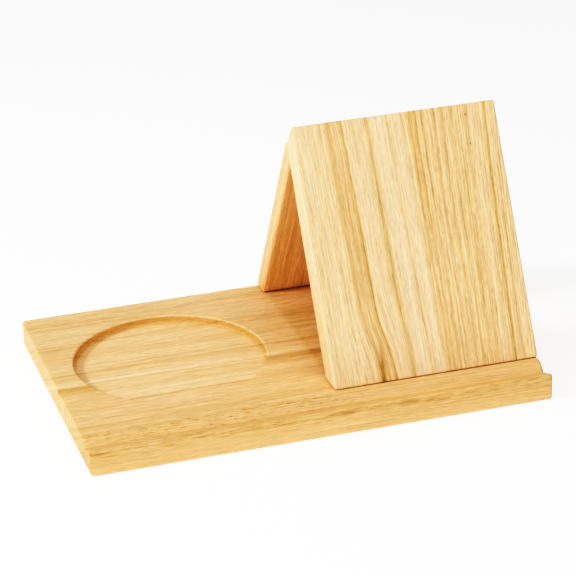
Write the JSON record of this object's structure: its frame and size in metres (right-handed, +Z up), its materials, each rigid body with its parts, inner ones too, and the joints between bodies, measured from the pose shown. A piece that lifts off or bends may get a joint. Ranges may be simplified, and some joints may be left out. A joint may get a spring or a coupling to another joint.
{
  "type": "wooden tablet stand",
  "caption": "Wooden desk stand: a tray with a round recess and a front groove, carrying a loose folding easel that a tablet leans on.",
  "frame": {"origin": "centre of the tray's underside", "axes": "+X to the right along the tablet groove, -Y towards the user, +Z up"},
  "size_m": [0.3, 0.196, 0.1657],
  "materials": {
    "pale_wood": "clear matt oil on a pale ring-porous hardwood",
    "golden_wood": "clear matt oil on a golden ring-porous hardwood",
    "warm_wood": "clear matt oil on a darker ring-porous hardwood",
    "brass": "satin brass",
    "screw_steel": "bright zinc plated"
  },
  "bodies": {
    "tray": {"tray_front_stave": "golden_wood", "tray_middle_stave": "pale_wood", "tray_back_stave": "golden_wood"},
    "easel_panel": {"panel_left_stave": "pale_wood", "panel_right_stave": "golden_wood", "hinge_left_panel_leaf": "brass", "hinge_left_panel_screw_1": "screw_steel", "hinge_left_panel_screw_2": "screw_steel", "hinge_left_pin": "brass", "hinge_right_panel_leaf": "brass", "hinge_right_panel_screw_1": "screw_steel", "hinge_right_panel_screw_2": "screw_steel", "hinge_right_pin": "brass"},
    "easel_leg": {"leg_left_stave": "golden_wood", "leg_right_stave": "warm_wood", "hinge_left_leg_leaf": "brass", "hinge_left_leg_screw_1": "screw_steel", "hinge_left_leg_screw_2": "screw_steel", "hinge_right_leg_leaf": "brass", "hinge_right_leg_screw_1": "screw_steel", "hinge_right_leg_screw_2": "screw_steel"}
  },
  "joints": [
    {"name": "easel_lift", "type": "slide", "parent": "tray", "child": "easel_panel", "axis": [0, 0, 1], "range_m": [0, 0.12]},
    {"name": "leg_fold", "type": "hinge", "parent": "easel_panel", "child": "easel_leg", "pos_m": [0.0815, 0.01166, 0.13532], "axis": [-1, 0, 0], "range_deg": [0, 59]}
  ],
  "couplings": [
    {"joint": "leg_fold", "follows": "easel_lift", "rad_per_m": 8.58}
  ]
}
